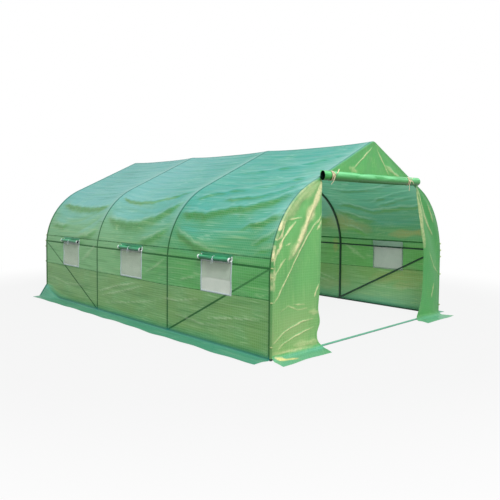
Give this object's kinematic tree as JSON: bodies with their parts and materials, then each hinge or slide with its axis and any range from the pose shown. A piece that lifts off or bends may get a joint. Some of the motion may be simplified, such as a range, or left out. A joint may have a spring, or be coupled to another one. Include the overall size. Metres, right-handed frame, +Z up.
{
  "type": "polytunnel greenhouse",
  "caption": "Walk-in garden polytunnel: bent tube hoops, rails and braces under a green film cover with net windows, ground skirts and a rolled-up front door.",
  "frame": {"origin": "centre of the footprint at ground level", "axes": "+X across the tunnel, to the right seen from in front of the door, +Y along it from the door to the back end, +Z up"},
  "size_m": [3.4, 4.86, 2],
  "materials": {
    "coated_steel": "dark green powder coat",
    "cover_film": "translucent green woven film",
    "rolled_film": "many layers of green film",
    "window_net": "fine insect net",
    "tie_tape": "white woven tape"
  },
  "bodies": {
    "root": {"back_base_bar": "coated_steel", "back_sheet": "cover_film", "back_skirt": "cover_film", "door_roll": "rolled_film", "door_ties": "tie_tape", "front_gable_sheet": "cover_film", "front_left_flap": "cover_film", "front_left_skirt": "cover_film", "front_right_flap": "cover_film", "front_right_skirt": "cover_film", "front_threshold_bar": "coated_steel", "hoop_1_legs": "coated_steel", "hoop_1_rafters": "coated_steel", "hoop_2_legs": "coated_steel", "hoop_2_rafters": "coated_steel", "hoop_3_legs": "coated_steel", "hoop_3_rafters": "coated_steel", "hoop_4_legs": "coated_steel", "hoop_4_rafters": "coated_steel", "left_base_rail": "coated_steel", "left_braces": "coated_steel", "left_roof_sheet": "cover_film", "left_side_rail": "coated_steel", "left_skirt": "cover_film", "left_wall_sheet": "cover_film", "left_window_1_net": "window_net", "left_window_1_roll": "rolled_film", "left_window_2_net": "window_net", "left_window_2_roll": "rolled_film", "left_window_3_net": "window_net", "left_window_3_roll": "rolled_film", "left_window_band": "cover_film", "ridge_elbows": "coated_steel", "ridge_pole": "coated_steel", "right_base_rail": "coated_steel", "right_braces": "coated_steel", "right_roof_sheet": "cover_film", "right_side_rail": "coated_steel", "right_skirt": "cover_film", "right_wall_sheet": "cover_film", "right_window_1_net": "window_net", "right_window_1_roll": "rolled_film", "right_window_2_net": "window_net", "right_window_2_roll": "rolled_film", "right_window_3_net": "window_net", "right_window_3_roll": "rolled_film", "right_window_band": "cover_film"}
  },
  "joints": []
}
